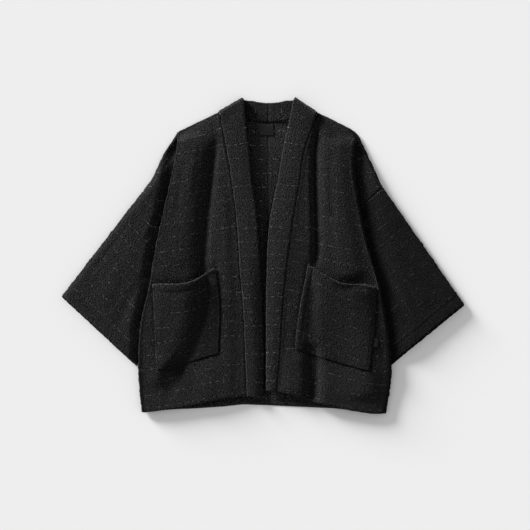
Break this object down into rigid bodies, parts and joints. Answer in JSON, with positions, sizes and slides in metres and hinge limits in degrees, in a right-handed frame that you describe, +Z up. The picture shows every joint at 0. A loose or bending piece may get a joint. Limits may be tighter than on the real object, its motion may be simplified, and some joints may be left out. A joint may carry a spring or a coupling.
{
  "type": "kimono jacket",
  "caption": "Short open-front kimono jacket of dark wool, laid flat: wide dropped sleeves, doubled neckband down both fronts, gaping patch pockets.",
  "frame": {"origin": "centre of the box round the jacket, on the surface it lies on", "axes": "+X to the picture's right, over both cuffs, +Y from hem to neck, +Z up out of the front panels"},
  "size_m": [0.908, 0.7102, 0.0319],
  "materials": {
    "wool_body": "boucle wool",
    "wool_sleeve": "boucle wool",
    "wool_band": "boucle wool, doubled",
    "satin_label": "plain woven satin"
  },
  "bodies": {
    "root": {"back_left": "wool_body", "back_right": "wool_body", "front_left": "wool_body", "front_right": "wool_body", "sleeve_left": "wool_sleeve", "sleeve_right": "wool_sleeve", "collar_left": "wool_band", "collar_right": "wool_band", "pocket_left": "wool_body", "pocket_right": "wool_body", "neck_label": "satin_label", "pocket_tag": "satin_label"}
  },
  "joints": []
}
